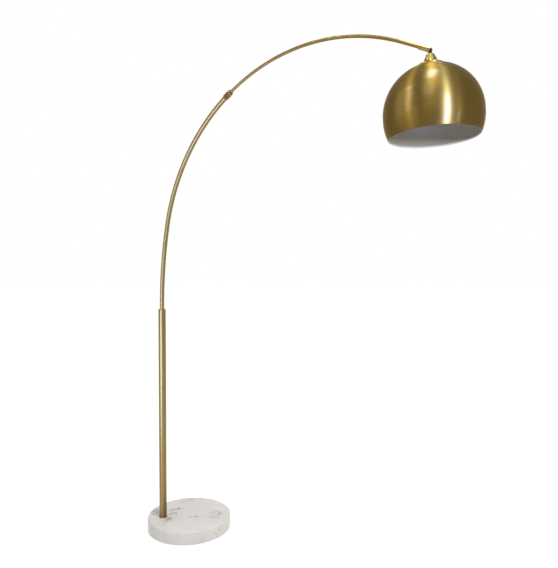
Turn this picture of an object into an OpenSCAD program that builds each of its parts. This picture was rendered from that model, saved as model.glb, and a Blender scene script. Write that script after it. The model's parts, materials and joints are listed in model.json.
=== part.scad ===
// Arc floor lamp: a marble base, a straight post, a two-stage curved arm that
// telescopes on its own radius, a knurled twist lock and a spun dome shade on a knuckle.
// Row frame: origin under the centre of the base, +Z up, +X the way the arm reaches.
// The arm lies in the plane y = post_y.

/* [Marble base] */
// Diameter of the marble disc
base_d = 305; // [260:5:360]
// Thickness of the marble disc
base_h = 45; // [35:1:60]
// Rounding of the disc's top edge
base_round = 4; // [1:0.5:8]
// Chamfer of the disc's lower edge
base_chamfer = 1; // [0.5:0.5:3]
// Distance from the post's axis to the disc's edge
post_margin = 55.5; // [46:0.5:80]
// Angle between the arm and the line from the post through the disc's centre
post_turn = 50; // [0:5:90]

/* [Base fixings] */
// Thickness of the felt pad under the disc
pad_t = 2; // [1:0.5:4]
// How far the pad stays inside the disc's edge
pad_inset = 6; // [3:1:12]
// Diameter of the recess for the clamp nut
recess_d = 64; // [58:1:70]
// Depth of the recess for the clamp nut
recess_h = 15; // [14:0.5:20]
// Outer diameter of the hollow tie rod
rod_d = 10; // [8:0.5:12]
// Bore of the hollow tie rod
rod_bore = 6; // [4:0.5:6.5]
// Diameter of the clamp washer
washer_d = 50; // [36:1:54]
// Thickness of the clamp washer
washer_t = 2.5; // [1.5:0.5:3]
// Thickness of the spring washer
spring_washer_t = 2; // [1:0.25:2.5]
// Clamp nut across its flats
nut_af = 17; // [16:1:22]
// Height of the clamp nut
nut_h = 8; // [5:0.5:8]
// Width and height of the cord groove in the underside
groove_w = 11; // [9:0.5:14]
// Direction of the cord groove, seen from above
groove_turn = 180; // [160:5:210]
// Length of the rubber grommet in the groove's mouth
grommet_l = 14; // [8:1:18]
// Cord hole through the grommet
grommet_bore = 6; // [4:0.5:7]

/* [Post] */
// Outer diameter of the post
post_d = 26.5; // [22:0.1:32]
// Wall of the post
post_wall = 1.5; // [1:0.1:2]
// Length of the post tube
post_h = 766.5; // [600:0.5:900]
// Thickness of the ring under the post
foot_ring_t = 2.5; // [1.5:0.5:5]
// How far that ring stands out round the post
foot_ring_lip = 1.5; // [0.5:0.25:4]
// Height of the threaded plug in the post's foot
foot_plug_h = 20; // [14:1:30]
// Visible height of the cap on the post
post_cap_h = 4; // [3:0.5:8]
// Length of the cap inside the post
post_cap_spigot = 24; // [16:1:40]

/* [Lower arm] */
// Outer diameter of the lower tube
arm_d = 15.9; // [14:0.1:18]
// Wall of the lower tube
arm_wall = 1.2; // [0.8:0.1:1.4]
// Straight length of the lower tube inside the post
spigot_l = 110; // [80:5:160]
// Straight length between the post's cap and the bend
lead_l = 4; // [2:1:20]
// Length of the spigot's neck inside the curved tube
spigot_neck = 16; // [10:1:30]
// Radius of the gentle bend above the post
ease_r = 1480; // [1200:10:1800]
// Angle of the gentle bend
ease_angle = 11.7; // [8:0.1:14]
// Radius of the arc that both tubes share
arc_r = 640; // [560:5:720]
// Angle round the arc where the twist lock sits
lock_angle = 58.65; // [52:0.05:66]
// Length of the swivel bush round the end of the spigot
bush_h = 34; // [20:1:50]
// Thickness of the swivel bush's floor
bush_floor = 6; // [3:0.5:10]

/* [Twist lock] */
// Length of the lock collar
collar_l = 30; // [28:1:36]
// Diameter of the lock collar over its knurl
collar_d = 20.5; // [20:0.5:24]
// Length of the knurled part
knurl_l = 19; // [14:0.5:20]
// Number of knurl ridges
knurl_count = 40; // [24:2:48]
// Depth of the knurl
knurl_depth = 0.6; // [0.3:0.1:0.8]
// Radius of the collar's rounded lower edge
collar_round = 1.6; // [1:0.2:2]
// Length of the nipple's threaded head
nipple_head_l = 10; // [8:0.5:12]
// Length of the nipple's shank inside the lower tube
nipple_shank_l = 12; // [8:1:18]
// Length of the split collet
collet_l = 8; // [7:0.5:9]
// Width of the collet's slits
collet_slit = 0.8; // [0.5:0.1:1.2]

/* [Upper arm] */
// Outer diameter of the upper tube
tube_d = 9.5; // [8:0.1:10]
// Wall of the upper tube
tube_wall = 1; // [0.7:0.1:1.2]
// Angle of upper tube held inside the lower tube
tube_insert = 15; // [10:0.5:20]
// Angle round the arc where the upper tube runs straight
arc_end = 116.3; // [110:0.1:122]
// Straight length from there to the knuckle pin
tip_straight = 83.5; // [60:0.5:120]
// Length of the guide on the upper tube's inner end
guide_l = 12; // [8:1:16]

/* [Knuckle] */
// Outer diameter of the tip ferrule
ferrule_d = 13.5; // [13:0.5:16]
// Length of the tip ferrule behind the pin
ferrule_back = 34; // [30:1:50]
// Length of the fork's cheeks past the pin
cheek_l = 2; // [0:0.5:2.5]
// Depth of the fork's slot behind the pin
slot_back = 7.5; // [7:0.5:9]
// Thickness of the swivel tongue
tongue_t = 6; // [4:0.5:7]
// Diameter of the tongue's round head
tongue_d = 10.6; // [9:0.1:12.8]
// Diameter of the knuckle pin
pin_d = 4; // [3:0.5:5]

/* [Shade cap] */
// Lean of the shade's axis away from upright
shade_lean = 3.2; // [0:0.1:10]
// Drop from the pin to the cap's neck
neck_drop = 9.5; // [7.5:0.5:12]
// Diameter of the cap's neck
neck_d = 9.5; // [9:0.5:12]
// Diameter of the cap's shoulder
shoulder_d = 22; // [18:0.2:26]
// Diameter of the cap where its flare starts
waist_d = 33; // [28:1:40]
// Diameter of the cap's flared skirt
skirt_d = 67; // [56:1:80]
// Height of the lip round the skirt
lip_h = 4; // [3:0.5:8]
// Height of the cap from neck to shoulder
shoulder_h = 4.5; // [4:0.5:7]
// Height of the cap from shoulder to waist
cone_h = 11.5; // [9:0.5:16]
// Wall of the cap's skirt
cap_wall = 1.4; // [1:0.1:2]

/* [Dome] */
// Radius of the dome
dome_r = 128; // [110:1:150]
// Straight band between the dome's upper and lower parts
dome_band = 7; // [0.5:0.5:12]
// Height of the dome below its widest line
dome_drop = 52; // [40:1:70]
// Wall of the dome
dome_wall = 1; // [0.8:0.1:1.5]
// Height of the folded hem inside the rim
hem_h = 5; // [3:0.5:8]
// Height of the dome's crown, above the skirt that surrounds the bulb
crown_h = 57.5; // [50:0.5:70]
// Drop from the pin to the top of the dome
dome_top_drop = 38.5; // [34:0.5:46]

/* [Lampholder] */
// Outer diameter of the threaded nipple
nipple_d = 10; // [9:0.5:10.5]
// Bore of the threaded nipple
nipple_bore = 6; // [4:0.5:6.5]
// Inner radius of the screw shell
socket_r = 13.2; // [13:0.1:13.6]
// Length of the screw shell
socket_l = 25; // [20:1:30]
// Wall of the screw shell
socket_wall = 0.5; // [0.4:0.1:0.8]
// Height of the screw shell's neck, round the contact
shell_neck_h = 4.8; // [4.5:0.1:6]
// Inner radius of the neck's top
shell_neck_r = 9; // [8:0.5:11]
// Wall of the holder's body
holder_wall = 2.2; // [1.8:0.1:3]
// Height of the porcelain disc
disc_h = 9; // [6:0.5:12]
// Height of the holder's hub on the nipple
hub_h = 7; // [5:0.5:10]
// Washer and nut under the dome: thickness of each
dome_washer_t = 1.5; // [1:0.5:3]
// Diameter of the washer under the dome
dome_washer_d = 30; // [24:1:36]
// Height of the nut under the dome
dome_nut_h = 4; // [3:0.5:6]

/* [Clearances] */
// Radial clearance of a close fit
fit_gap = 0.05; // [0.02:0.01:0.1]
// Clearance between pieces that slide or turn near each other
run_gap = 0.3; // [0.2:0.05:0.4]
// Clearance between faces that seat on each other
seat_gap = 0.1; // [0.05:0.05:0.2]
// Radial clearance of the open collet on the upper tube
collet_gap = 0.2; // [0.15:0.05:0.4]

/* [Hidden] */
$fn = 96;

BRASS = "#b9993f";
DARK_BRASS = "#6f5c2e";
STEEL = "#a8a9ab";
BLACK = "#1c1a19";
WHITE = "#e8e6df";

// Heights of the stand, from the floor up
base_bottom = pad_t;
base_top = base_bottom + base_h;
post_bottom = base_top + foot_ring_t;
post_top = post_bottom + post_h;
cap_top = post_top + post_cap_h;
spigot_bottom = cap_top - spigot_l;
bend_start = cap_top + lead_l;

// Where the post stands
post_offset = base_d / 2 - post_margin;
post_x = -post_offset * cos(post_turn);
post_y = -post_offset * sin(post_turn);

// Arc geometry, in the plane of the arm: x from the post's axis, z from the floor
arc_x = ease_r - (ease_r - arc_r) * cos(ease_angle);
arc_z = bend_start + (ease_r - arc_r) * sin(ease_angle);
function arc_pos(r, a) = [arc_x - r * cos(a), 0, arc_z + r * sin(a)];
function along(l) = l / arc_r * 180 / PI;
pin_pos = arc_pos(arc_r, arc_end) + tip_straight * [sin(arc_end), 0, cos(arc_end)];

// Radii that several pieces share
post_ri = post_d / 2 - post_wall;
arm_ri = arm_d / 2 - arm_wall;
arm_r = arm_d / 2;
tube_r = tube_d / 2;
collar_r = collar_d / 2;
nipple_head_r = arm_r - fit_gap;
nipple_bore_r = tube_r + 1.5 * run_gap;
guide_r = arm_ri - run_gap;
ferrule_r = ferrule_d / 2;
ferrule_bore_r = tube_r + fit_gap;
tongue_r = tongue_d / 2;
// Distance from the pin back to the upper tube's end
tube_back = slot_back + 7;
pin_l = ferrule_d - 2 * run_gap;

// The lock, measured along its own axis from the middle of the collar
lock_tube_end = -collar_l / 2 + 11;
lock_head_end = lock_tube_end + nipple_head_l;
collet_start = lock_head_end - 3;
collet_end = collet_start + collet_l;
collet_big_r = nipple_head_r - 0.8;
collet_small_r = tube_r + 1;
collet_bore_r = tube_r + collet_gap;

// The shade, measured down from the knuckle pin along its own axis
dome_top = -dome_top_drop;
dome_mid = dome_top - dome_r;
dome_low = dome_mid - dome_band;
dome_rim = dome_low - dome_drop;
dome_inner_top = dome_top - dome_wall;
rim_r = sqrt(pow(dome_r, 2) - pow(dome_drop, 2));
crown_z = dome_top - crown_h;
washer_top = dome_mid + sqrt(pow(dome_r - dome_wall, 2) - pow(dome_washer_d / 2, 2)) - seat_gap;
washer_low = washer_top - dome_washer_t;
nut_low = washer_low - seat_gap - dome_nut_h;
neck_top = -neck_drop;
shoulder_z = neck_top - shoulder_h;
waist_z = shoulder_z - cone_h;
// Height of the dome's outside at radius r
function dome_z(r) = dome_mid + sqrt(pow(dome_r, 2) - pow(r, 2));
skirt_z = dome_z(skirt_d / 2) + run_gap;
cap_socket_top = neck_top - shoulder_h - 1;
nipple_top = cap_socket_top - seat_gap;

// The lampholder hangs on the nipple, below the nut
shell_r = socket_r + socket_wall;
body_ri = shell_r + run_gap;
body_r = body_ri + holder_wall;
hold_cap_ri = body_r + fit_gap;
hold_cap_r = hold_cap_ri + 1.5;
hub_top = nut_low - seat_gap;
hub_r = nipple_d / 2 + 4;
hub_low = hub_top - hub_h;
hold_cap_shoulder = hub_low - (hold_cap_r - hub_r) * 0.6;
body_top = hold_cap_shoulder - 6;
disc_top = body_top - seat_gap;
disc_low = disc_top - disc_h;
hold_cap_low = body_top - 12;
shell_low = disc_low - socket_l;
body_low = shell_low - 1;
nipple_low = hub_low - 1;
ring_h = 6;

// ---------- helpers ----------

// Children placed on the post's axis, at height z
module on_post(z = 0) translate([post_x, post_y, z]) children();

// Children placed on the arc at angle a, with +Z along the tube
module on_arc(a) on_post() translate(arc_pos(arc_r, a)) rotate([0, a, 0]) children();

// Children placed at the knuckle pin, with +Z along the upper tube
module on_tip() on_post() translate(pin_pos) rotate([0, arc_end, 0]) children();

// Children placed at the knuckle pin, with +Z up the shade's axis
module on_shade() on_post() translate(pin_pos) rotate([0, -shade_lean, 0]) children();

// A tube or disc with a bore, from z0 to z1
module ring(r, ri, z0, z1) difference() {
    translate([0, 0, z0]) cylinder(r = r, h = z1 - z0);
    translate([0, 0, z0 - 1]) cylinder(r = ri, h = z1 - z0 + 2);
}

// A rod bent towards +X with radius r, from angle a0 to a1; at angle 0 it runs along +Z at the origin
module bent_rod(r, radius, a0, a1)
    translate([r, 0, 0]) rotate([90, 0, 180])
        rotate_extrude(angle = a1 - a0, start = a0) translate([r, 0]) circle(r = radius);

// Points of a circular arc, for outlines
function arc_points(c, r, a0, a1, n = 12) =
    [for (i = [0 : n]) c + r * [cos(a0 + (a1 - a0) * i / n), sin(a0 + (a1 - a0) * i / n)]];

// A hexagon nut from z0 to z1
module hex_nut(af, bore_r, z0, z1) difference() {
    intersection() {
        translate([0, 0, z0]) cylinder(r = af / 2 / cos(30), h = z1 - z0, $fn = 6);
        rotate_extrude() polygon([[0, z0], [af / 2, z0], [af / 2 / cos(30), z0 + 1],
                                  [af / 2 / cos(30), z1 - 1], [af / 2, z1], [0, z1]]);
    }
    translate([0, 0, z0 - 1]) cylinder(r = bore_r, h = z1 - z0 + 2);
}

// ---------- stand ----------

// Non-slip felt pad with a hole round the clamp nut
module base_pad() color(BLACK) difference() {
    cylinder(r = base_d / 2 - pad_inset, h = pad_t);
    on_post(-1) cylinder(r = recess_d / 2 + 1, h = pad_t + 2);
}

// The groove that leads the cord from the recess to the edge, from radius `from` outwards
module cord_groove(w, h, from, to) on_post(base_bottom) rotate([0, 0, groove_turn])
    translate([from, -w / 2, 0]) cube([to - from, w, h]);

groove_out = groove_edge(groove_turn);
// Distance from the post's axis to the disc's edge along direction t
function groove_edge(t) = -(post_x * cos(t) + post_y * sin(t))
    + sqrt(pow(base_d / 2, 2) - pow(post_x * sin(t) - post_y * cos(t), 2));

// Marble disc: chamfered top edge, rod hole, nut recess and cord groove
module marble_base() color(WHITE) difference() {
    rotate_extrude() polygon(concat(
        [[0, base_bottom], [base_d / 2 - base_chamfer, base_bottom], [base_d / 2, base_bottom + base_chamfer]],
        arc_points([base_d / 2 - base_round, base_top - base_round], base_round, 0, 90, 6),
        [[0, base_top]]));
    on_post(base_bottom - 1) cylinder(r = recess_d / 2, h = recess_h + 1);
    on_post(0) cylinder(r = rod_d / 2 + run_gap, h = base_top + 1);
    translate([0, 0, -1]) cord_groove(groove_w, groove_w + 1, 0, base_d);
}

// Rubber grommet that fills the groove's mouth and follows the disc's edge
module cord_grommet() color(BLACK) difference() {
    intersection() {
        cord_groove(groove_w - 2 * seat_gap, groove_w - seat_gap, groove_out - grommet_l, base_d);
        cylinder(r = base_d / 2 - 1, h = base_top);
    }
    on_post(base_bottom + groove_w / 2) rotate([0, 0, groove_turn]) rotate([0, 90, 0])
        cylinder(r = grommet_bore / 2, h = base_d);
}

recess_top = base_bottom + recess_h;
spring_top = recess_top - washer_t;
nut_top = spring_top - spring_washer_t;

module clamp_washer() color(STEEL)
    on_post() ring(washer_d / 2, rod_d / 2 + fit_gap, recess_top - washer_t, recess_top);

// Split spring washer, with its gap
module spring_washer() color(STEEL) on_post() difference() {
    ring(nut_af / 2, rod_d / 2 + fit_gap, nut_top, spring_top);
    translate([0, -0.6, nut_top - 1]) cube([nut_af, 1.2, spring_washer_t + 2]);
}

module clamp_nut() color(STEEL)
    on_post() hex_nut(nut_af, rod_d / 2 + fit_gap, nut_top - nut_h, nut_top);

// Hollow threaded rod from the nut, through the marble, into the post's plug
module tie_rod() color(STEEL)
    on_post() ring(rod_d / 2, rod_bore / 2, nut_top - nut_h - 1, post_bottom + foot_plug_h - 1);

// Dark ring between the marble and the post
module foot_ring() color(DARK_BRASS)
    on_post() difference() {
        rotate_extrude() polygon([
            [0, base_top], [post_d / 2 + foot_ring_lip, base_top],
            [post_d / 2 + foot_ring_lip, post_bottom - 0.8], [post_d / 2 + foot_ring_lip - 0.8, post_bottom],
            [0, post_bottom]]);
        cylinder(r = rod_d / 2 + run_gap, h = post_bottom + 1);
    }

// Threaded plug welded into the post's foot
module foot_plug() color(STEEL)
    on_post() ring(post_ri - fit_gap, rod_d / 2 + fit_gap, post_bottom, post_bottom + foot_plug_h);

module post_tube() color(BRASS)
    on_post() ring(post_d / 2, post_ri, post_bottom, post_top);

// Cap that closes the post and guides the arm
module post_cap() color(BRASS) on_post() difference() {
    rotate_extrude() polygon([
        [0, post_top - post_cap_spigot], [post_ri - fit_gap, post_top - post_cap_spigot],
        [post_ri - fit_gap, post_top], [post_d / 2, post_top], [post_d / 2, cap_top - 2.6],
        [arm_r + 2, cap_top], [0, cap_top]]);
    translate([0, 0, post_top - post_cap_spigot - 1])
        cylinder(r = arm_r + fit_gap, h = post_cap_spigot + post_cap_h + 2);
}

// Nylon bush with a floor, which the arm's spigot stands and turns in
module swivel_bush() color(WHITE) on_post() difference() {
    floor_z = spigot_bottom - seat_gap - bush_floor;
    translate([0, 0, floor_z]) cylinder(r = post_ri - fit_gap, h = bush_floor + bush_h);
    translate([0, 0, floor_z - 1]) cylinder(r = arm_ri - 1.5, h = bush_floor + 2);
    translate([0, 0, floor_z + bush_floor]) cylinder(r = arm_r + fit_gap, h = bush_h + 1);
}

// ---------- lower arm ----------

// Straight spigot that turns in the post; its shoulder carries the curved tube
module arm_spigot() color(BRASS) on_post() difference() {
    union() {
        translate([0, 0, spigot_bottom]) cylinder(r = arm_r, h = bend_start - seat_gap - spigot_bottom);
        translate([0, 0, bend_start - 1]) cylinder(r = arm_ri - run_gap, h = spigot_neck + 1);
    }
    translate([0, 0, spigot_bottom - 1])
        cylinder(r = arm_ri - run_gap - arm_wall, h = bend_start + spigot_neck - spigot_bottom + 2);
}

// The lower tube's outer or inner form: gentle bend, then the shared arc
module lower_form(radius, extra = 0) on_arc(ease_angle) {
    bent_rod(ease_r, radius, -ease_angle - extra, 0);
    bent_rod(arc_r, radius, 0, lock_angle + along(lock_tube_end) - ease_angle + extra);
}

module lower_arm_tube() color(BRASS) difference() {
    lower_form(arm_r);
    lower_form(arm_ri, 0.2);
}

// Threaded nipple brazed into the lower tube's end; its mouth is a cone for the collet
module lock_nipple() color(BRASS) on_arc(lock_angle) difference() {
    union() {
        translate([0, 0, lock_tube_end - nipple_shank_l]) cylinder(r = arm_ri - run_gap, h = nipple_shank_l + 1);
        translate([0, 0, lock_tube_end + seat_gap]) cylinder(r = nipple_head_r, h = nipple_head_l - seat_gap);
    }
    translate([0, 0, lock_tube_end - nipple_shank_l - 1]) cylinder(r = nipple_bore_r, h = nipple_shank_l + nipple_head_l + 2);
    translate([0, 0, collet_start]) cylinder(r1 = nipple_bore_r, r2 = collet_big_r + run_gap, h = 3.01);
}

// Split nylon collet that grips the upper tube
module lock_collet() color(WHITE) on_arc(lock_angle) difference() {
    rotate_extrude() polygon([
        [0, collet_start + 0.6], [nipple_bore_r, collet_start + 0.6], [collet_big_r, lock_head_end + 0.4],
        [collet_big_r, lock_head_end + 1.4], [collet_small_r, collet_end], [0, collet_end]]);
    translate([0, 0, collet_start - 1]) cylinder(r = collet_bore_r, h = collet_l + 2);
    for (i = [0 : 2]) rotate([0, 0, 120 * i + 60])
        translate([0, -collet_slit / 2, collet_start + 2]) cube([arm_d, collet_slit, collet_l]);
}

// Outline of the knurl: one ridge and one valley per tooth
function knurl_outline() = [for (i = [0 : 2 * knurl_count - 1])
    (i % 2 == 0 ? collar_r : collar_r - knurl_depth) * [cos(180 * i / knurl_count), sin(180 * i / knurl_count)]];

// Knurled collar: knurl, groove, smooth ring with a chamfer, thread bore and closing cone
module lock_collar() color(DARK_BRASS) on_arc(lock_angle) difference() {
    low = -collar_l / 2;
    high = collar_l / 2;
    knurl_top = low + knurl_l;
    smooth_r = collar_r - 0.4;
    union() {
        intersection() {
            translate([0, 0, low]) linear_extrude(knurl_l) polygon(knurl_outline());
            rotate_extrude() polygon(concat([[0, low]],
                arc_points([collar_r - collar_round, low + collar_round], collar_round, -90, 0, 6),
                [[collar_r, knurl_top - 0.6], [collar_r - 0.6, knurl_top], [0, knurl_top]]));
        }
        rotate_extrude() polygon([
            [0, knurl_top - 1], [collar_r - 1.3, knurl_top - 1], [collar_r - 1.3, knurl_top + 1],
            [smooth_r - 0.5, knurl_top + 1], [smooth_r, knurl_top + 1.5], [smooth_r, high - 1.6],
            [smooth_r - 1.6, high], [0, high]]);
    }
    translate([0, 0, low - 1]) cylinder(r = arm_r + 1.2 * run_gap, h = lock_tube_end - low + 1);
    translate([0, 0, lock_tube_end - 0.01]) cylinder(r = arm_r + fit_gap, h = lock_head_end + 0.5 - lock_tube_end);
    translate([0, 0, lock_head_end + 0.4])
        cylinder(r1 = arm_r + fit_gap, r2 = collet_small_r + run_gap, h = collet_end + run_gap - lock_head_end);
    translate([0, 0, low]) cylinder(r = tube_r + 2 * run_gap, h = collar_l + 1);
    translate([0, 0, high - 1.8]) cylinder(r1 = tube_r + 2 * run_gap, r2 = tube_r + 2 * run_gap + 1.8, h = 1.81);
}

// ---------- upper arm ----------

// The upper tube's outer or inner form: the shared arc, then straight to the knuckle
module upper_form(radius, extra = 0) on_arc(arc_end) {
    bent_rod(arc_r, radius, lock_angle - tube_insert - arc_end - extra, 0);
    cylinder(r = radius, h = tip_straight - tube_back + 10 * extra);
}

module upper_arm_tube() color(BRASS) difference() {
    upper_form(tube_r);
    upper_form(tube_r - tube_wall, 0.2);
}

// Nylon guide on the upper tube's inner end; the nipple stops it from pulling out
module arm_guide() color(WHITE) on_arc(lock_angle - tube_insert + along(guide_l / 2))
    difference() {
        rotate_extrude() polygon([
            [0, -guide_l / 2], [guide_r - 1, -guide_l / 2], [guide_r, -guide_l / 2 + 1],
            [guide_r, guide_l / 2 - 1], [guide_r - 1, guide_l / 2], [0, guide_l / 2]]);
        translate([0, 0, -guide_l]) cylinder(r = tube_r + 2 * fit_gap, h = 2 * guide_l);
    }

// Brass ferrule on the tube's tip, slotted into a fork for the tongue
module tip_ferrule() color(BRASS) on_tip() difference() {
    rotate_extrude() polygon(concat(
        [[0, -ferrule_back], [ferrule_r - 0.8, -ferrule_back], [ferrule_r, -ferrule_back + 0.8]],
        arc_points([ferrule_r - 1.5, cheek_l - 1.5], 1.5, 0, 90, 6), [[0, cheek_l]]));
    translate([0, 0, -ferrule_back - 1]) cylinder(r = ferrule_bore_r, h = ferrule_back + cheek_l + 2);
    translate([-ferrule_d, -tongue_t / 2 - run_gap, -slot_back])
        cube([2 * ferrule_d, tongue_t + 2 * run_gap, slot_back + cheek_l + 1]);
    rotate([90, 0, 0]) translate([0, 0, -ferrule_d]) cylinder(r = pin_d / 2 + fit_gap, h = 2 * ferrule_d);
}

// Bush in the ferrule, which closes the tube's end round the cord's path
module tip_bush() color(BLACK)
    on_tip() ring(tube_r - fit_gap, tube_r - 2.2, -tube_back + seat_gap, -slot_back - run_gap);

// Pin through the fork's cheeks
module knuckle_pin() color(STEEL) on_tip() rotate([90, 0, 0])
    translate([0, 0, -pin_l / 2]) cylinder(r = pin_d / 2, h = pin_l);

// ---------- shade ----------

// Black tongue: round head in the fork, flat stem and a shank riveted into the cap
module swivel_tongue() color(BLACK) on_shade() difference() {
    stem_w = neck_d - 1;
    shank_r = nipple_bore / 2 - fit_gap;
    union() {
        rotate([90, 0, 0]) translate([0, 0, -tongue_t / 2]) cylinder(r = tongue_r, h = tongue_t);
        translate([-stem_w / 2, -tongue_t / 2, neck_top + seat_gap]) cube([stem_w, tongue_t, neck_drop - seat_gap]);
        translate([0, 0, cap_socket_top]) cylinder(r = shank_r, h = neck_top - cap_socket_top + 1);
    }
    rotate([90, 0, 0]) translate([0, 0, -tongue_t]) cylinder(r = pin_d / 2 + fit_gap, h = 2 * tongue_t);
}

// Turned brass cap: neck, rounded shoulder, cone and a skirt that flares onto the dome
neck_r = neck_d / 2;
shoulder_r = shoulder_d / 2;
waist_r = waist_d / 2;
skirt_r = skirt_d / 2;
flare_h = waist_z - skirt_z - lip_h;
// Outline of the flare, from the waist (t = 0) to the lip (t = 90), outside and inside
function flare(t) = [waist_r + (skirt_r - waist_r) * (1 - cos(t)), waist_z - flare_h * sin(t)];
function inner_flare(t) = flare(t) - [cap_wall * cos(t) + 0.2, cap_wall * (0.3 + 0.7 * sin(t))];
module shade_cap() color(BRASS) on_shade() difference() {
    rotate_extrude() polygon(concat(
        [[0, neck_top], [neck_r - 0.8, neck_top], [neck_r, neck_top - 0.8], [neck_r, neck_top - 1.4]],
        arc_points([shoulder_r - 3, shoulder_z - 0.5], 3, 60, 0, 5),
        [for (t = [0 : 9 : 90]) flare(t)],
        [[skirt_r, skirt_z], [skirt_r - cap_wall, dome_z(skirt_r - cap_wall) + run_gap]],
        [for (t = [72 : -9 : 0]) inner_flare(t)],
        [[nipple_d / 2 + 3, waist_z - 1], [0, waist_z - 1]]));
    translate([0, 0, cap_socket_top]) cylinder(r = nipple_bore / 2, h = neck_drop + shoulder_h + 5);
    translate([0, 0, skirt_z - 5]) cylinder(r = nipple_d / 2 + fit_gap, h = cap_socket_top - skirt_z + 5);
}

module shade_nipple() color(BRASS) on_shade() ring(nipple_d / 2, nipple_bore / 2, nipple_low, nipple_top);

// The dome's outer or inner form: upper sphere, straight band, lower sphere
module dome_form(r) {
    intersection() {
        translate([0, 0, dome_mid]) sphere(r = r);
        translate([0, 0, dome_mid]) cylinder(r = 2 * r, h = 2 * r);
    }
    translate([0, 0, dome_low]) cylinder(r = r, h = dome_band);
    intersection() {
        translate([0, 0, dome_low]) sphere(r = r);
        translate([0, 0, dome_low - 2 * r]) cylinder(r = 2 * r, h = 2 * r);
    }
}

// Crown of the spun dome, with a hole for the nipple
module shade_dome() color(BRASS) on_shade() difference() {
    dome_form(dome_r);
    dome_form(dome_r - dome_wall);
    translate([0, 0, crown_z - 2 * dome_r]) cylinder(r = 2 * dome_r, h = 2 * dome_r);
    translate([0, 0, dome_inner_top - dome_wall]) cylinder(r = nipple_d / 2 + run_gap, h = 4 * dome_wall);
}

// Skirt of the dome, cut off below its widest line, with a hem inside the rim
module dome_skirt() color(BRASS) on_shade() difference() {
    dome_form(dome_r);
    difference() {
        dome_form(dome_r - dome_wall);
        translate([0, 0, dome_rim - dome_r]) cylinder(r = dome_r, h = dome_r + hem_h);
    }
    intersection() {
        dome_form(dome_r - 2 * dome_wall);
        translate([0, 0, dome_rim - dome_r]) cylinder(r = dome_r, h = dome_r + hem_h + 0.01);
    }
    translate([0, 0, dome_rim - dome_r]) cylinder(r = 2 * dome_r, h = dome_r);
    translate([0, 0, crown_z - fit_gap]) cylinder(r = 2 * dome_r, h = dome_r);
}

module dome_washer() color(STEEL)
    on_shade() ring(dome_washer_d / 2, nipple_d / 2 + fit_gap, washer_low, washer_top);

module dome_nut() color(STEEL)
    on_shade() hex_nut(nipple_d + 4, nipple_d / 2 + fit_gap, nut_low, nut_low + dome_nut_h);

// Upper shell of the lampholder, screwed on the nipple
module holder_cap() color(BLACK) on_shade() difference() {
    rotate_extrude() polygon([
        [0, hub_top], [hub_r - 1, hub_top], [hub_r, hub_top - 1], [hub_r, hub_low],
        [hold_cap_r - 1, hold_cap_shoulder], [hold_cap_r, hold_cap_shoulder - 1], [hold_cap_r, hold_cap_low],
        [0, hold_cap_low]]);
    translate([0, 0, hold_cap_low - 1]) cylinder(r = hold_cap_ri, h = body_top - hold_cap_low + 1 + seat_gap);
    translate([0, 0, body_top]) cylinder(r1 = hold_cap_ri - 2, r2 = hub_r - 1.5, h = hub_low - body_top - 1.5);
    translate([0, 0, body_top]) cylinder(r = nipple_d / 2 + fit_gap, h = hub_top - body_top + 1);
}

// Lower shell of the lampholder
module holder_body() color(BLACK) on_shade() ring(body_r, body_ri, body_low, body_top);

// Porcelain disc that carries the shell and the contact
module holder_disc() color(WHITE) on_shade() difference() {
    ring(body_ri - seat_gap, 2, disc_low, disc_top);
    for (s = [-1, 1]) translate([s * 8, 0, disc_top - 4]) cylinder(r = 2.4 + run_gap, h = 5);
}

// Threaded metal shell that takes the bulb's cap; it necks in round the contact
shell_top = disc_low - seat_gap;
shell_straight_top = shell_top - shell_neck_h;
module screw_shell() color(STEEL) on_shade() rotate_extrude() polygon([
    [socket_r, shell_low], [shell_r, shell_low], [shell_r, shell_straight_top],
    [shell_neck_r + socket_wall, shell_top], [shell_neck_r, shell_top], [socket_r, shell_straight_top]]);

// Spring tongue that touches the bulb's tip
module centre_contact() color(BRASS) on_shade() {
    translate([-5, -2.5, disc_low - seat_gap - 0.6]) cube([10, 5, 0.6]);
    translate([-5, -2.5, disc_low - seat_gap - 3.6]) cube([0.6, 5, 3.2]);
    translate([-5, -2.5, disc_low - seat_gap - 4.2]) cube([9, 5, 0.7]);
}

// Two terminal screws in the disc's top
module terminal_screws() color(STEEL) on_shade()
    for (s = [-1, 1]) translate([s * 8, 0, disc_top - 4 + seat_gap]) difference() {
        cylinder(r = 2.4, h = 3);
        translate([-3, -0.4, 2]) cube([6, 0.8, 2]);
    }

// Threaded ring on the holder's body
module holder_ring() color(BLACK)
    on_shade() difference() {
        rotate_extrude() polygon([
            [0, body_low + 2], [body_r + 1.5, body_low + 2], [body_r + 3, body_low + 3.5],
            [body_r + 3, body_low + ring_h], [body_r + 1.5, body_low + ring_h + 2], [0, body_low + ring_h + 2]]);
        translate([0, 0, body_low - 1]) cylinder(r = body_r + fit_gap, h = 2 * ring_h);
    }

base_pad();
marble_base();
cord_grommet();
tie_rod();
clamp_washer();
spring_washer();
clamp_nut();
foot_ring();
foot_plug();
post_tube();
post_cap();
swivel_bush();
arm_spigot();
lower_arm_tube();
lock_nipple();
lock_collet();
lock_collar();
upper_arm_tube();
arm_guide();
tip_ferrule();
tip_bush();
knuckle_pin();
swivel_tongue();
shade_cap();
shade_nipple();
shade_dome();
dome_skirt();
dome_washer();
dome_nut();
holder_cap();
holder_body();
holder_disc();
screw_shell();
centre_contact();
terminal_screws();
holder_ring();
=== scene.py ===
"""Arc floor lamp: materials, fine pieces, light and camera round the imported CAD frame.

All lengths are metres in the record's frame. The dome, its cap, the post and the arm's two tubes
are made again as fine meshes and stand for their CAD nodes. The other nodes keep their shapes.
"""
import json
import math

import bmesh
import bpy
from mathutils import Matrix, Vector


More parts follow.
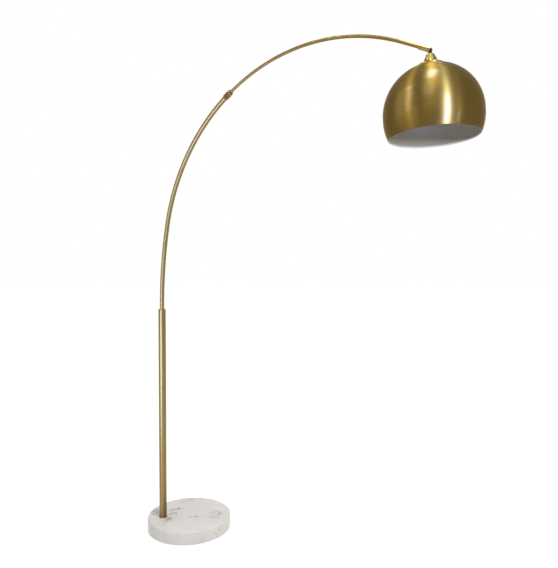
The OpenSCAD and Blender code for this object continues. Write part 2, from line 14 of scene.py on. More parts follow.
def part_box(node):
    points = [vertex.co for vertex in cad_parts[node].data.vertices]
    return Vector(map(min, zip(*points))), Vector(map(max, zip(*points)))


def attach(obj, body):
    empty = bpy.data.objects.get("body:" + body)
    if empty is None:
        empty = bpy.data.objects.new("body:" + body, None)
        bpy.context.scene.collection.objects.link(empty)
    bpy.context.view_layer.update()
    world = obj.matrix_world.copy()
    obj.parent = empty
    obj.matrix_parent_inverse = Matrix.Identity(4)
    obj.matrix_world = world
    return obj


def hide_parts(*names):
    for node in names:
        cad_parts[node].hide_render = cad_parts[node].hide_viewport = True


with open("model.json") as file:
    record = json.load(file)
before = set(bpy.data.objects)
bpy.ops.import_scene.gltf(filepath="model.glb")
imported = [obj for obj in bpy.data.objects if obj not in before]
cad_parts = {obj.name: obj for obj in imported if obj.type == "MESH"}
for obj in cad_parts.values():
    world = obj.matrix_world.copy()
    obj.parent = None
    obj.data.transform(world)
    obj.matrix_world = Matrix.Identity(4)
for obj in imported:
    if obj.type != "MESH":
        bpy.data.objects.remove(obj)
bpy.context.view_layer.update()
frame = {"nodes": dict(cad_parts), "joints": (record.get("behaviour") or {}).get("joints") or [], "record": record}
nodes = frame["nodes"]
joints = {j["name"]: j for j in frame["joints"]}

MM = 0.001
UP = Vector((0, 0, 1))

# ---------- places taken from the frame ----------

post_lo, post_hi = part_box("post_tube")
post_axis = Vector(((post_lo.x + post_hi.x) / 2, (post_lo.y + post_hi.y) / 2, 0))
pin = Vector(joints["shade_tilt"]["pos_m"])
arc_centre = Vector(joints["arm_extend"]["pos_m"])
socket = next(m for m in frame["record"]["mounts"] if m["name"] == "lamp_socket")
shade_up = -Vector(socket["axis"]).normalized()
shade_place = Matrix.Translation(pin) @ UP.rotation_difference(shade_up).to_matrix().to_4x4()

# ---------- mesh helpers ----------

SHARP_EDGE = math.radians(40)
TUBE_SEGMENTS = 48


def new_piece(name, mesh, body, materials, replaces, place=None):
    """Links a mesh as a piece that rides on a body and stands for CAD nodes."""
    obj = bpy.data.objects.new(name, mesh)
    bpy.context.scene.collection.objects.link(obj)
    if place is not None:
        obj.matrix_world = place
    for m in materials:
        mesh.materials.append(m)
    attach(obj, body)
    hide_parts(*replaces)
    return obj


def finish_mesh(name, verts, faces, uvs, slots=None):
    """A smooth mesh with UVs and outward faces; slots holds each face's material index."""
    mesh = bpy.data.meshes.new(name)
    mesh.from_pydata(verts, [], faces)
    layer = mesh.uv_layers.new(name="UVMap")
    layer.data.foreach_set("uv", [c for uv in uvs for c in uv])
    if slots:
        mesh.polygons.foreach_set("material_index", slots)
    mesh.polygons.foreach_set("use_smooth", [True] * len(faces))
    mesh.update()
    bm = bmesh.new()
    bm.from_mesh(mesh)
    bmesh.ops.recalc_face_normals(bm, faces=bm.faces)
    bm.to_mesh(mesh)
    bm.free()
    mesh.set_sharp_from_angle(angle=SHARP_EDGE)
    return mesh


def lathe(name, outline, segments, changes=()):
    """A closed mesh turned round Z from an outline of (radius, height) points.

    U runs along the outline and V round the axis. changes holds the outline's points at which
    the next material begins.
    """
    count = len(outline)
    verts, faces, uvs, slots = [], [], [], []
    length = [0]
    for i in range(count):
        a, b = Vector(outline[i]), Vector(outline[(i + 1) % count])
        length.append(length[-1] + (b - a).length)
    for s in range(segments):
        a = 2 * math.pi * s / segments
        verts += [(r * math.cos(a), r * math.sin(a), z) for r, z in outline]
    for s in range(segments):
        t = (s + 1) % segments
        for i in range(count):
            j = (i + 1) % count
            faces.append((s * count + i, s * count + j, t * count + j, t * count + i))
            v0, v1 = s / segments, (s + 1) / segments
            uvs += [(length[i], v0), (length[i + 1], v0), (length[i + 1], v1), (length[i], v1)]
            slots.append(sum(i >= c for c in changes))
    return finish_mesh(name, verts, faces, uvs, slots)


def tube(name, path, normals, outer, inner):
    """A tube with its wall along a path in the arm's plane; U runs along the tube."""
    verts, faces, uvs, rings = [], [], [], []
    along = [0]
    for a, b in zip(path, path[1:]):
        along.append(along[-1] + (b - a).length)
    side = Vector((0, 1, 0))
    for radius in (outer, inner):
        for p, n in zip(path, normals):
            rings.append(len(verts))
            for s in range(TUBE_SEGMENTS):
                a = 2 * math.pi * s / TUBE_SEGMENTS
                verts.append(p + radius * (math.cos(a) * n + math.sin(a) * side))
    steps = len(path)

    def band(r0, r1, u0, u1):
        """The faces between two rings of points."""
        for s in range(TUBE_SEGMENTS):
            t = (s + 1) % TUBE_SEGMENTS
            faces.append((r0 + s, r1 + s, r1 + t, r0 + t))
            v0, v1 = s / TUBE_SEGMENTS, (s + 1) / TUBE_SEGMENTS
            uvs.extend([(u0, v0), (u1, v0), (u1, v1), (u0, v1)])

    for i in range(steps - 1):
        band(rings[i], rings[i + 1], along[i], along[i + 1])
        band(rings[steps + i], rings[steps + i + 1], along[i], along[i + 1])
    band(rings[0], rings[steps], 0, outer - inner)
    band(rings[steps - 1], rings[2 * steps - 1], along[-1], along[-1] + outer - inner)
    return finish_mesh(name, verts, faces, uvs)


# ---------- material helpers ----------


def is_link(value):
    return isinstance(value, bpy.types.NodeSocket)


def opaque(colour):
    """A colour with an alpha of 1; a socket stays as it is."""
    return colour if is_link(colour) else (*colour, 1)


def linear(c):
    """One 8-bit sRGB channel as a linear value."""
    return ((c / 255 + 0.055) / 1.055) ** 2.4 if c > 10 else c / 255 / 12.92


def srgb(*channels):
    """An 8-bit sRGB colour as linear values."""
    return tuple(linear(c) for c in channels)


def grey(v):
    return (v, v, v)


class Tree:
    """A node tree, with short calls for the nodes used here."""

    def __init__(self, tree):
        self.tree = tree

    def feed(self, target, value):
        """Links a socket into an input, or sets the input's own value."""
        if is_link(value):
            self.tree.links.new(value, target)
        else:
            target.default_value = value

    def node(self, kind, inputs=None, **settings):
        n = self.tree.nodes.new("ShaderNode" + kind)
        for key, value in settings.items():
            setattr(n, key, value)
        for key, value in (inputs or {}).items():
            self.feed(n.inputs[key], value)
        return n

    def remap(self, value, source, target):
        """Maps a value from one (low, high) pair to another, and holds it between them."""
        limits = {"Value": value, "From Min": source[0], "From Max": source[1],
                  "To Min": target[0], "To Max": target[1]}
        return self.node("MapRange", limits).outputs["Result"]

    def calc(self, operation, a, b):
        return self.node("Math", {0: a, 1: b}, operation=operation).outputs[0]

    def seen(self):
        """1 on rays from the camera, from gloss and through glass, otherwise 0."""
        ray = self.node("LightPath").outputs
        direct = self.calc("MAXIMUM", ray["Is Camera Ray"], ray["Is Glossy Ray"])
        return self.calc("MAXIMUM", direct, ray["Is Transmission Ray"])


class Material(Tree):
    """A material with its Principled shader."""

    def __init__(self, name, **values):
        self.material = bpy.data.materials.new(name)
        self.material.use_nodes = True
        super().__init__(self.material.node_tree)
        self.shader = self.tree.nodes["Principled BSDF"]
        for label, value in values.items():
            self.set(label, value)

    def set(self, label, value):
        self.feed(self.shader.inputs[label], value)

    def place(self, scale=(1, 1, 1), uv=False):
        """Object coordinates, or UVs, stretched by a scale."""
        source = self.node("TexCoord").outputs["UV" if uv else "Object"]
        return self.node("Mapping", {"Vector": source, "Scale": scale}).outputs["Vector"]

    def noise(self, vector, scale, detail=4, rough=0.55, distortion=0, colour=False):
        values = {"Vector": vector, "Scale": scale, "Detail": detail, "Roughness": rough,
                  "Distortion": distortion}
        return self.node("TexNoise", values).outputs["Color" if colour else "Fac"]

    def ramp(self, fac, *stops, smooth=False):
        """A colour ramp with stops of (position, colour)."""
        n = self.node("ValToRGB", {"Fac": fac})
        r = n.color_ramp
        r.interpolation = "EASE" if smooth else "LINEAR"
        while len(r.elements) < len(stops):
            r.elements.new(0.5)
        for e, (at, colour) in zip(r.elements, stops):
            e.position = at
            e.color = opaque(colour)
        return n.outputs["Color"]

    def mix(self, fac, a, b):
        """Mixes two colours; a Mix node's colour inputs and output have these numbers."""
        inputs = {0: fac, 6: opaque(a), 7: opaque(b)}
        return self.node("Mix", inputs, data_type="RGBA", blend_type="MIX").outputs[2]

    def add_roughness(self, fine, fine_span, broad, broad_span, fine_from, broad_from):
        """Roughness from a broad pattern, with a fine one added to it."""
        fine_part = self.remap(fine, fine_from, fine_span)
        broad_part = self.remap(broad, broad_from, broad_span)
        self.set("Roughness", self.calc("ADD", fine_part, broad_part))

    def bump(self, height, strength, distance):
        values = {"Height": height, "Strength": strength, "Distance": distance}
        self.set("Normal", self.node("Bump", values).outputs["Normal"])

    def coat(self, weight, rough):
        self.set("Coat Weight", weight)
        self.set("Coat Roughness", rough)

    def tangent_along_u(self):
        n = self.node("Tangent", direction_type="UV_MAP", uv_map="UVMap")
        self.set("Tangent", n.outputs["Tangent"])


# ---------- brass ----------

# the part of a noise's values that a change is spread over
CRISP, SOFT = (0.35, 0.65), (0.3, 0.7)
EDGE_TINT = (0.62, 0.5, 0.26)
BRUSH_DEPTH = 0.00002
COAT_IOR = 1.5
# brushed brass: clouds per metre, lines to each dull streak along and across, how much of a
# streak is dull and how dark, and what the lines add to the roughness
BRUSHED_CLOUDS = 16
DULL_ALONG, DULL_ACROSS, DULL_SHARE, DULL_TONE = 9, 3, 0.6, 0.82
LINE_ROUGHNESS = 0.08
# solid brass: grains and clouds per metre, the grain's strength, and its coat
BRASS_GRAINS, BRASS_CLOUDS, BRASS_GRAIN_STRENGTH = 900, 60, 0.25
BRASS_COAT, BRASS_COAT_ROUGH = 0.3, 0.15


def brushed(name, base, light, rough, along, across, coat, coat_rough=0.2, depth=0.0,
            anisotropy=0.0, cloudy=0.5, streaks=0.35):
    """Brushed metal: fine lines, broader dull streaks and soft clouds.

    along and across are the lines' counts per metre of U and per turn of V.
    """
    m = Material(name, Metallic=1.0)
    lines = m.noise(m.place((along, across, 1), uv=True), 1.0, detail=3, rough=0.6)
    broad = m.noise(m.place((along / DULL_ALONG, across / DULL_ACROSS, 1), uv=True), 1.0, detail=2)
    cloud = m.noise(m.place(), BRUSHED_CLOUDS, detail=3, distortion=0.4)
    tone = m.mix(m.remap(cloud, CRISP, (0, cloudy)), base, light)
    streaky = m.mix(m.remap(lines, (0.3, 0.75), (0.0, streaks)), tone, light)
    dull = m.remap(broad, (0.4, 0.7), (0.0, DULL_SHARE * streaks))
    m.set("Base Color", m.mix(dull, streaky, tuple(DULL_TONE * c for c in base)))
    uneven = LINE_ROUGHNESS * streaks
    m.add_roughness(lines, (-uneven, uneven), cloud, (rough - 0.02, rough + 0.03),
                    (0.25, 0.75), SOFT)
    if depth:
        m.bump(lines, streaks, depth)
    if anisotropy:
        m.set("Anisotropic", anisotropy)
        m.tangent_along_u()
    m.set("Specular Tint", opaque(EDGE_TINT))
    m.coat(coat, coat_rough)
    m.set("Coat IOR", COAT_IOR)
    return m.material


def solid_brass(name, base, light, rough):
    """Turned brass for the CAD's own nodes, by object coordinates."""
    m = Material(name, Metallic=1.0)
    fine = m.noise(m.place(), BRASS_GRAINS, detail=2)
    cloud = m.noise(m.place(), BRASS_CLOUDS, detail=3, distortion=0.5)
    tone = m.mix(m.remap(cloud, CRISP, (0, 1)), base, light)
    m.set("Base Color", m.mix(m.remap(fine, (0.35, 0.7), (0, 0.3)), tone, light))
    m.add_roughness(fine, (-0.04, 0.04), cloud, (rough - 0.02, rough + 0.06), SOFT, SOFT)
    m.bump(fine, BRASS_GRAIN_STRENGTH, BRUSH_DEPTH)
    m.coat(BRASS_COAT, BRASS_COAT_ROUGH)
    return m.material


dome_brass = brushed("spun brass", srgb(94, 75, 28), srgb(106, 86, 35), rough=0.44,
                     along=900, across=6, coat=0.2, depth=BRUSH_DEPTH, anisotropy=0.92)
tube_brass = brushed("satin brass tube", srgb(126, 105, 54), srgb(138, 117, 66), rough=0.36,
                     along=6, across=9, coat=0.4, coat_rough=0.32, cloudy=0.3, streaks=0.06)
turned_brass = brushed("turned brass", srgb(118, 96, 44), srgb(134, 111, 54), rough=0.42,
                       along=700, across=5, coat=0.15, depth=BRUSH_DEPTH, anisotropy=0.6)
slim_brass = brushed("slim brass tube", srgb(116, 94, 42), srgb(130, 107, 53), rough=0.32,
                     along=6, across=9, coat=0.15, coat_rough=0.25, cloudy=0.3, streaks=0.06)
collar_brass = solid_brass("knurled brass", srgb(106, 88, 50), srgb(138, 116, 72), 0.30)
plain_brass = solid_brass("plain brass", srgb(128, 104, 52), srgb(146, 121, 62), 0.32)
# painted shade: a darker brass for the shade at the foot of the post
foot_brass_painted_shade = solid_brass("shaded brass", srgb(82, 66, 36), srgb(104, 86, 50), 0.3)

# ---------- marble ----------

MARBLE_TOP = 0.047
# counts per metre, and how far speckles and bands are bent out of shape, in metres
CLOUDS, GRAINS, BENDS, SPECKLES, BANDS = 9, 90, 14, 55, 14
WARP = 0.05
SPECKLE_STRENGTH, VEIN_STRENGTH, VEIN_DEPTH = 0.75, 0.6, -0.5
POLISH, POLISH_ROUGH = 0.06, 0.22
CLUSTERS = ((-0.05, -0.04), (-0.07, 0.0), (-0.025, -0.075), (0.02, -0.01), (0.075, 0.07),
            (0.09, 0.04), (-0.11, -0.07))
CLUSTER_SIZE = 0.03
STAINS = ((-0.085, -0.125, 0.03), (-0.05, -0.14, 0.012), (0.15, -0.015, 0.018),
          (-0.09, 0.09, MARBLE_TOP))
STAIN_SIZE = 0.035


def near(m, vector, places, size):
    """White close to any of the places, fading out at that distance."""
    total = None
    for place in places:
        centre = tuple(c + WARP / 2 for c in place)
        gap = m.node("VectorMath", {0: vector, 1: centre}, operation="DISTANCE").outputs["Value"]
        level = m.remap(gap, (0.25 * size, size), (1, 0))
        total = level if total is None else m.calc("MAXIMUM", total, level)
    return total


def marble():
    """Pale stone with soft clouds, grey speckled clusters and tan veins."""
    m = Material("pale marble")
    m.set("Specular IOR Level", 0.5)
    p = m.place()
    cloud = m.noise(p, CLOUDS, detail=7, rough=0.6, distortion=0.9)
    pale = m.ramp(cloud, (0.30, srgb(200, 196, 191)), (0.5, srgb(213, 210, 207)),
                  (0.72, srgb(223, 221, 219)), smooth=True)
    fine = m.noise(p, GRAINS, detail=6, rough=0.7)
    pale = m.mix(m.remap(fine, (0.35, 0.75), (0, 0.3)), pale, srgb(200, 197, 193))
    warp = m.noise(p, BENDS, detail=4, rough=0.6, distortion=0.6, colour=True)
    shift = m.node("VectorMath", {0: warp, "Scale": WARP}, operation="SCALE").outputs[0]
    bent = m.node("VectorMath", {0: p, 1: shift}, operation="ADD").outputs[0]
    # grey speckled clusters on the top
    clusters = near(m, bent, [(x, y, MARBLE_TOP) for x, y in CLUSTERS], CLUSTER_SIZE)
    speckle = m.noise(bent, SPECKLES, detail=7, rough=0.75, distortion=0.5)
    spots = m.ramp(speckle, (0.47, grey(0)), (0.57, grey(1)))
    dark = m.calc("MULTIPLY", spots, m.calc("MULTIPLY", clusters, SPECKLE_STRENGTH))
    # tan veins, low on the side and at the back edge
    stains = near(m, bent, STAINS, STAIN_SIZE)
    wave = {"Vector": bent, "Scale": BANDS, "Distortion": 4, "Detail": 3, "Detail Scale": 1.5}
    band = m.node("TexWave", wave, wave_type="BANDS", bands_direction="DIAGONAL").outputs["Fac"]
    veins = m.ramp(band, (0.0, grey(1)), (0.05, grey(0.6)), (0.16, grey(0.25)))
    tan = m.calc("MULTIPLY", veins, m.calc("MULTIPLY", stains, VEIN_STRENGTH))
    body = m.mix(tan, pale, srgb(168, 148, 122))
    m.set("Base Color", m.mix(dark, body, srgb(122, 116, 111)))
    m.set("Roughness", m.remap(fine, SOFT, (0.32, 0.42)))
    m.coat(POLISH, POLISH_ROUGH)
    m.bump(m.calc("ADD", fine, m.calc("MULTIPLY", tan, VEIN_DEPTH)), 0.08, 0.0002)
    return m.material


# ---------- the other materials ----------

GRAINS_PER_PATCH, GRAIN_STRENGTH = 12, 0.3


def plain(name, dark, light, rough, scale, depth, metallic=0.0):
    """A painted, moulded or rolled surface with a fine grain and worn patches."""
    m = Material(name, Metallic=metallic)
    grain = m.noise(m.place(), scale, detail=4)
    worn = m.noise(m.place(), scale / GRAINS_PER_PATCH, detail=3, distortion=0.5)
    patchy = m.mix(m.remap(worn, (0.4, 0.7), (0, 0.5)), dark, light)
    m.set("Base Color", m.mix(m.remap(grain, SOFT, (0, 1)), patchy, light))
    m.add_roughness(grain, (-0.04, 0.05), worn, (rough - 0.04, rough + 0.06), SOFT, CRISP)
    m.bump(grain, GRAIN_STRENGTH, depth)
    return m.material


# painted shade: the lining's white paint made a darker taupe, for the shade inside the dome
lining_painted_shade = plain("white lining with painted shade", srgb(174, 170, 160), srgb(182, 178, 168), 0.5, 700, 0.00003)
# painted light: a pale lilac band inside the rim, where light falls in under the near rim
painted_light_hem = plain("white hem with painted light", srgb(232, 230, 240), srgb(240, 238, 246), 0.4, 700, 0.00003)
felt = plain("black felt", srgb(26, 25, 24), srgb(46, 44, 42), 0.95, 2600, 0.0004)
rubber = plain("black rubber", srgb(24, 23, 22), srgb(36, 35, 34), 0.6, 1500, 0.00005)
steel = plain("zinc plated steel", srgb(150, 150, 148), srgb(186, 186, 184), 0.32, 900, 0.00003,
              metallic=1.0)
nylon = plain("natural nylon", srgb(206, 202, 190), srgb(222, 219, 208), 0.45, 1200, 0.00003)
black_metal = plain("black plated steel", srgb(22, 20, 18), srgb(44, 40, 34), 0.34, 900, 0.00003,
                    metallic=0.6)
black_plastic = plain("black phenolic", srgb(18, 17, 17), srgb(32, 31, 30), 0.28, 1300, 0.00003)
porcelain = plain("glazed porcelain", srgb(222, 220, 212), srgb(236, 235, 230), 0.15, 500, 0.00002)
contact = plain("spring bronze", srgb(158, 124, 66), srgb(186, 152, 92), 0.3, 1100, 0.00002,
                metallic=1.0)

# A node that isn't named here is steel.
BY_NODE = {
    "marble_base": marble(), "base_pad": felt, "cord_grommet": rubber, "foot_ring": foot_brass_painted_shade,
    "post_cap": plain_brass, "arm_spigot": plain_brass, "lock_nipple": plain_brass,
    "lock_collar": collar_brass, "tip_ferrule": plain_brass, "shade_nipple": plain_brass,
    "swivel_bush": nylon, "lock_collet": nylon, "arm_guide": nylon, "tip_bush": rubber,
    "swivel_tongue": black_metal, "holder_cap": black_plastic, "holder_body": black_plastic,
    "holder_ring": black_plastic, "holder_disc": porcelain, "centre_contact": contact,
    "post_tube": tube_brass, "lower_arm_tube": tube_brass, "upper_arm_tube": tube_brass,
    "shade_cap": plain_brass, "shade_dome": plain_brass, "dome_skirt": plain_brass,
    "knuckle_pin": plain_brass,
}
for name, obj in nodes.items():
    obj.data.materials.clear()
    obj.data.materials.append(BY_NODE.get(name, steel))

# ---------- the dome, turned fine; heights are from the knuckle's pin ----------

DOME_R, DOME_TOP = 128 * MM, -38.5 * MM
DOME_BAND, DOME_DROP = 7 * MM, 52 * MM
DOME_WALL, HEM_H, NIPPLE_HOLE = 1 * MM, 5 * MM, 5.3 * MM
OUTER_STEPS, INNER_STEPS, DOME_SEGMENTS = 48, 40, 288
HEM_SHARES = (0.3, 0.7)
CURL_ANGLES = (20, 45, 70, 90, 110, 135, 160)
CURL_H, CURL_START, CURL_INSET = 0.9 * MM, 0.95 * MM, 0.02 * MM
# the curl's point from which the rim and the hem get the pale colour: painted light, a lit band inside the rim
CURL_PAINTED = 4
dome_mid = DOME_TOP - DOME_R
dome_low = dome_mid - DOME_BAND
dome_rim = dome_low - DOME_DROP


def dome_line(radius, steps, to_z):
    """The dome's line from its hole down to a height: upper sphere, straight band, lower one."""
    line = []
    a0 = math.asin(NIPPLE_HOLE / radius)
    for k in range(steps + 1):
        a = a0 + (math.pi / 2 - a0) * k / steps
        line.append((radius * math.sin(a), dome_mid + radius * math.cos(a)))
    low = math.asin((dome_low - to_z) / radius)
    for k in range(steps // 2 + 1):
        a = low * k / (steps // 2)
        line.append((radius * math.cos(a), dome_low - radius * math.sin(a)))
    return line


def hem_point(z):
    """A point on the folded hem's inner face."""
    return (math.sqrt((DOME_R - 2 * DOME_WALL) ** 2 - (dome_low - z) ** 2), z)


outer_line = dome_line(DOME_R, OUTER_STEPS, dome_rim)
inner_line = dome_line(DOME_R - DOME_WALL, INNER_STEPS, dome_rim + HEM_H)
hem_line = [hem_point(dome_rim + share * HEM_H) for share in HEM_SHARES]
hem_line.append(hem_point(dome_rim + HEM_H))
rim_out = outer_line[-1][0]
rim_z = outer_line[-1][1]
rim_in = hem_point(dome_rim)[0]
rim_curl = []
for degrees in CURL_ANGLES:
    a = math.radians(degrees)
    rim_curl.append(((rim_out + rim_in) / 2 + (rim_out - rim_in) / 2 * math.cos(a),
                     rim_z + CURL_H - CURL_H * math.sin(a)))
dome_outline = outer_line[:-1] + [(rim_out - CURL_INSET, rim_z + CURL_START)] + rim_curl
dome_outline += [(rim_in + CURL_INSET, rim_z + CURL_START)] + hem_line + inner_line[::-1]
painted_light_start = len(outer_line) + CURL_PAINTED
lining_start = len(dome_outline) - len(inner_line)
dome_mesh = lathe("dome_shell", dome_outline, DOME_SEGMENTS, (painted_light_start, lining_start))
dome = new_piece("dome_shell", dome_mesh, "shade",
                 [dome_brass, painted_light_hem, lining_painted_shade], ["shade_dome", "dome_skirt"], shade_place)

# ---------- the cap over the dome ----------

NECK_TOP, NECK_R, NECK_BORE = -9.5 * MM, 4.75 * MM, 3 * MM
NECK_ROUND, NECK_ROUND_MID, NECK_LOW = 0.8 * MM, 0.24 * MM, 1.4 * MM
SHOULDER_R, SHOULDER_Z, SHOULDER_ROUND, SHOULDER_DROP = 11 * MM, -14 * MM, 3 * MM, 0.5 * MM
WAIST_R, WAIST_Z, SKIRT_R = 16.5 * MM, -25.5 * MM, 33.5 * MM
LIP_H, LIP_TOP, LIP_ROUND, LIP_ROUND_MID, LIP_LOW = 4 * MM, 0.3 * MM, 0.4 * MM, 0.12 * MM, 0.05 * MM
CAP_WALL, CAP_GAP, FLARE_INSET = 1.4 * MM, 0.3 * MM, 0.2 * MM
FLOOR_Z, FLOOR_R, FLOOR_HOLE, BORE_END = WAIST_Z - 1 * MM, 8 * MM, 5.05 * MM, -15 * MM
CAP_SEGMENTS = 160


def dome_z(r):
    """The dome's outer height at a radius."""
    return dome_mid + math.sqrt(DOME_R ** 2 - r ** 2)


skirt_z = dome_z(SKIRT_R) + CAP_GAP
flare_h = WAIST_Z - skirt_z - LIP_H


def flare(t):
    return (WAIST_R + (SKIRT_R - WAIST_R) * (1 - math.cos(t)), WAIST_Z - flare_h * math.sin(t))


def inner_flare(t):
    r, z = flare(t)
    return (r - CAP_WALL * math.cos(t) - FLARE_INSET, z - CAP_WALL * (0.3 + 0.7 * math.sin(t)))


def shoulder(a):
    return (SHOULDER_R - SHOULDER_ROUND + SHOULDER_ROUND * math.cos(a),
            SHOULDER_Z - SHOULDER_DROP + SHOULDER_ROUND * math.sin(a))


neck = [(NECK_BORE, NECK_TOP), (NECK_R - NECK_ROUND, NECK_TOP),
        (NECK_R - NECK_ROUND_MID, NECK_TOP - NECK_ROUND_MID), (NECK_R, NECK_TOP - NECK_ROUND),
        (NECK_R, NECK_TOP - NECK_LOW)]
lip = [(SKIRT_R, skirt_z + LIP_H - LIP_TOP), (SKIRT_R, skirt_z + LIP_ROUND),
       (SKIRT_R - LIP_ROUND_MID, skirt_z + LIP_ROUND_MID), (SKIRT_R - LIP_ROUND, skirt_z + LIP_LOW),
       (SKIRT_R - CAP_WALL, dome_z(SKIRT_R - CAP_WALL) + CAP_GAP)]
cap_floor = [(FLOOR_R, FLOOR_Z), (FLOOR_HOLE, FLOOR_Z), (FLOOR_HOLE, BORE_END),
             (NECK_BORE, BORE_END)]
cap_outline = neck + [shoulder(math.radians(t)) for t in range(60, -1, -6)]
cap_outline += [flare(math.radians(t)) for t in range(0, 91, 5)] + lip
cap_outline += [inner_flare(math.radians(t)) for t in range(72, -1, -9)] + cap_floor
cap = new_piece("dome_cap", lathe("dome_cap", cap_outline, CAP_SEGMENTS), "shade",
                [turned_brass], ["shade_cap"], shade_place)

# ---------- post and arm tubes, swept fine ----------

POST_R, POST_WALL = 13.25 * MM, 1.5 * MM
ARM_R, ARM_WALL = 7.95 * MM, 1.2 * MM
TUBE_R, TUBE_WALL = 4.75 * MM, 1.0 * MM
ARC_R, EASE_R, EASE_ANGLE = 0.640, 1.480, math.radians(11.7)
LOCK_ANGLE, ARC_END = math.radians(58.65), math.radians(116.3)
TUBE_INSERT = math.radians(15)
TIP_STRAIGHT, TUBE_BACK = 83.5 * MM, 14.5 * MM
LOCK_TUBE_END = -4 * MM
EASE_STEPS, ARC_STEPS, UPPER_STEPS, TIP_STEPS, POST_STEPS = 40, 110, 150, 6, 30


def outward(angle):
    """The direction away from the arc's centre; the arc runs straight up at angle 0."""
    return Vector((-math.cos(angle), 0, math.sin(angle)))


def arc_point(centre, radius, angle):
    """A point of an arc in the arm's plane, and its outward normal."""
    n = outward(angle)
    return centre + radius * n, n


def sweep(name, parts, radius, wall, body, node, brass=tube_brass):
    """A tube along (point, normal) parts that stands for a CAD node."""
    path, normals = zip(*parts)
    mesh = tube(name, path, normals, radius, radius - wall)
    return new_piece(name, mesh, body, [brass], [node])


ease_centre = arc_centre - (EASE_R - ARC_R) * outward(EASE_ANGLE)
lower_span = LOCK_ANGLE + LOCK_TUBE_END / ARC_R - EASE_ANGLE
lower_parts = [arc_point(ease_centre, EASE_R, EASE_ANGLE * k / EASE_STEPS)
               for k in range(EASE_STEPS + 1)]
lower_parts += [arc_point(arc_centre, ARC_R, EASE_ANGLE + lower_span * k / ARC_STEPS)
                for k in range(1, ARC_STEPS + 1)]
lower_tube = sweep("lower_tube", lower_parts, ARM_R, ARM_WALL, "lower_arm", "lower_arm_tube")

tube_start = LOCK_ANGLE - TUBE_INSERT
upper_parts = [arc_point(arc_centre, ARC_R, tube_start + (ARC_END - tube_start) * k / UPPER_STEPS)
               for k in range(UPPER_STEPS + 1)]
end_point, end_normal = upper_parts[-1]
tip_way = Vector((math.sin(ARC_END), 0, math.cos(ARC_END)))
upper_parts += [(end_point + (TIP_STRAIGHT - TUBE_BACK) * k / TIP_STEPS * tip_way, end_normal)
                for k in range(1, TIP_STEPS + 1)]
upper_tube = sweep("upper_tube", upper_parts, TUBE_R, TUBE_WALL, "upper_arm", "upper_arm_tube",
                   slim_brass)

post_h = post_hi.z - post_lo.z
post_parts = [(post_axis + UP * (post_lo.z + post_h * k / POST_STEPS), Vector((1, 0, 0)))
              for k in range(POST_STEPS + 1)]
post = sweep("post_shell", post_parts, POST_R, POST_WALL, "stand", "post_tube")

# ---------- world and floor: white to the camera, in gloss and through glass ----------

AMBIENT = 0.62
FLOOR_HALF, FLOOR_GREY, FLOOR_GLOW = 30.0, 0.82, 0.52

scene = bpy.context.scene
world = bpy.data.worlds.new("studio")
scene.world = world
world.use_nodes = True
sky = Tree(world.node_tree)
back = world.node_tree.nodes["Background"]
back.inputs["Color"].default_value = (1, 1, 1, 1)
sky.feed(back.inputs["Strength"], sky.remap(sky.seen(), (0, 1), (AMBIENT, 1.0)))

floor_mesh = bpy.data.meshes.new("studio_floor")
floor_corners = [(-FLOOR_HALF, -FLOOR_HALF, 0), (FLOOR_HALF, -FLOOR_HALF, 0),
                 (FLOOR_HALF, FLOOR_HALF, 0), (-FLOOR_HALF, FLOOR_HALF, 0)]
floor_mesh.from_pydata(floor_corners, [], [(0, 1, 2, 3)])
floor = bpy.data.objects.new("studio_floor", floor_mesh)
scene.collection.objects.link(floor)
fm = Material("pale floor", Roughness=0.9)
fm.set("Base Color", opaque(grey(FLOOR_GREY)))
fm.set("Specular IOR Level", 0.1)
glow = fm.node("Emission", {"Color": (1, 1, 1, 1),
                            "Strength": fm.calc("MULTIPLY", fm.seen(), FLOOR_GLOW)})
both = fm.node("AddShader", {0: fm.shader.outputs[0], 1: glow.outputs[0]})
fm.feed(fm.tree.nodes["Material Output"].inputs["Surface"], both.outputs[0])
floor_mesh.materials.append(fm.material)

# ---------- lamps ----------

# an area lamp's watts per square metre at a radiance of 1
LAMP_WATTS = 4
# Lamp colours, linear. The blue ones make the brass's highlights as pale as satin brass shows.
BLUE, PALE = (0.80, 1.1, 2.6), (0.80, 1.0, 2.1)
COOL, WARM = (0.94, 1.0, 1.2), (1.0, 0.97, 0.9)
ARM_LAMP_HEIGHT = 0.40

shade_metal = [dome, cap]
arm_metal = [post, lower_tube, upper_tube]
arm_metal += [nodes[n] for n in ("foot_ring", "post_cap", "arm_spigot", "lock_nipple",
                                 "tip_ferrule")]
dome_centre = shade_place @ Vector((0, 0, dome_mid))
lower_post = (post_axis.x, post_axis.y, ARM_LAMP_HEIGHT)


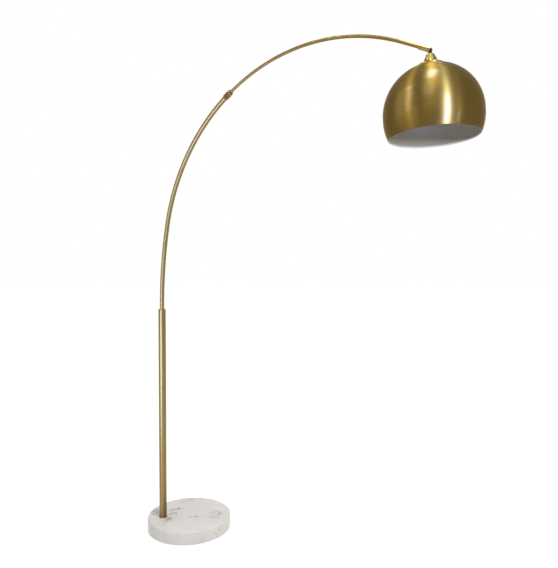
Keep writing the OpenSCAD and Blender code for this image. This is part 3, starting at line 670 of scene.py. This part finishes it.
def softbox(name, place, size, radiance, colour=(1, 1, 1), target=dome_centre, gloss=True,
            metal=None):
    """An area lamp of that width and height, whose reflection is that bright; 1 is white.

    With metal, it lights those pieces alone and only shows as a reflection in them.
    """
    width, height = size
    data = bpy.data.lights.new(name, "AREA")
    data.shape = "RECTANGLE"
    data.size, data.size_y = width, height
    data.energy = LAMP_WATTS * width * height * radiance
    data.color = colour
    lamp = bpy.data.objects.new(name, data)
    scene.collection.objects.link(lamp)
    lamp.location = place
    lamp.rotation_euler = (Vector(target) - Vector(place)).to_track_quat("-Z", "Y").to_euler()
    lamp.visible_camera = False
    lamp.visible_diffuse = not metal
    lamp.visible_glossy = gloss
    if metal:
        group = bpy.data.collections.new(name + "_pieces")
        for piece in metal:
            group.objects.link(piece)
        lamp.light_linking.receiver_collection = group


softbox("key_right", (2.11, -1.04, 1.27), (0.30, 0.15), 80, gloss=False)
softbox("strip_right", (2.15, -1.05, 1.25), (0.13, 1.70), 80, PALE, metal=shade_metal)
softbox("box_left", (0.20, -1.60, 0.40), (0.9, 0.9), 6.4, BLUE, lower_post, metal=arm_metal)
softbox("box_top", (1.00, -0.33, 2.95), (0.34, 0.70), 30, COOL,
        metal=shade_metal + arm_metal + [nodes["lock_collar"]])
softbox("plain_top", (1.00, -0.33, 2.95), (0.34, 0.34), 62, WARM, gloss=False)
softbox("box_front", (1.15, -1.30, 2.40), (0.60, 0.70), 3.0, COOL, metal=shade_metal)
softbox("small_left", (0.09, -0.91, 2.55), (0.20, 0.20), 26)
softbox("strip_left", (0.09, -1.33, 2.00), (0.28, 1.0), 8.5, metal=shade_metal)
softbox("slit_left", (0.51, -1.73, 1.20), (0.05, 0.8), 6, metal=shade_metal)
softbox("slit_right", (2.61, -0.47, 1.10), (0.05, 0.6), 34, metal=shade_metal)
softbox("fill_left", (-0.35, -0.95, 1.90), (0.70, 1.20), 1.5, WARM, metal=shade_metal)

# ---------- camera ----------

CAMERA_PLACE = (1.5043, -1.4908, 0.9648)
CAMERA_YAW, CAMERA_PITCH = math.radians(-36.124), math.radians(1.498)
SENSOR_WIDTH = 36.0
# the focal length as a share of the picture's longer side
FOCAL_SHARE = 562.8 / 568
CLIP_START, CLIP_END = 0.05, 200

cam_data = bpy.data.cameras.new("camera")
cam_data.sensor_width = SENSOR_WIDTH
cam_data.sensor_fit = "AUTO"
cam_data.lens = SENSOR_WIDTH * FOCAL_SHARE
cam_data.clip_start, cam_data.clip_end = CLIP_START, CLIP_END
camera = bpy.data.objects.new("camera", cam_data)
scene.collection.objects.link(camera)
camera.location = CAMERA_PLACE
camera.rotation_euler = (math.pi / 2 - CAMERA_PITCH, 0, -CAMERA_YAW)
scene.camera = camera

scene.view_settings.view_transform = "Standard"
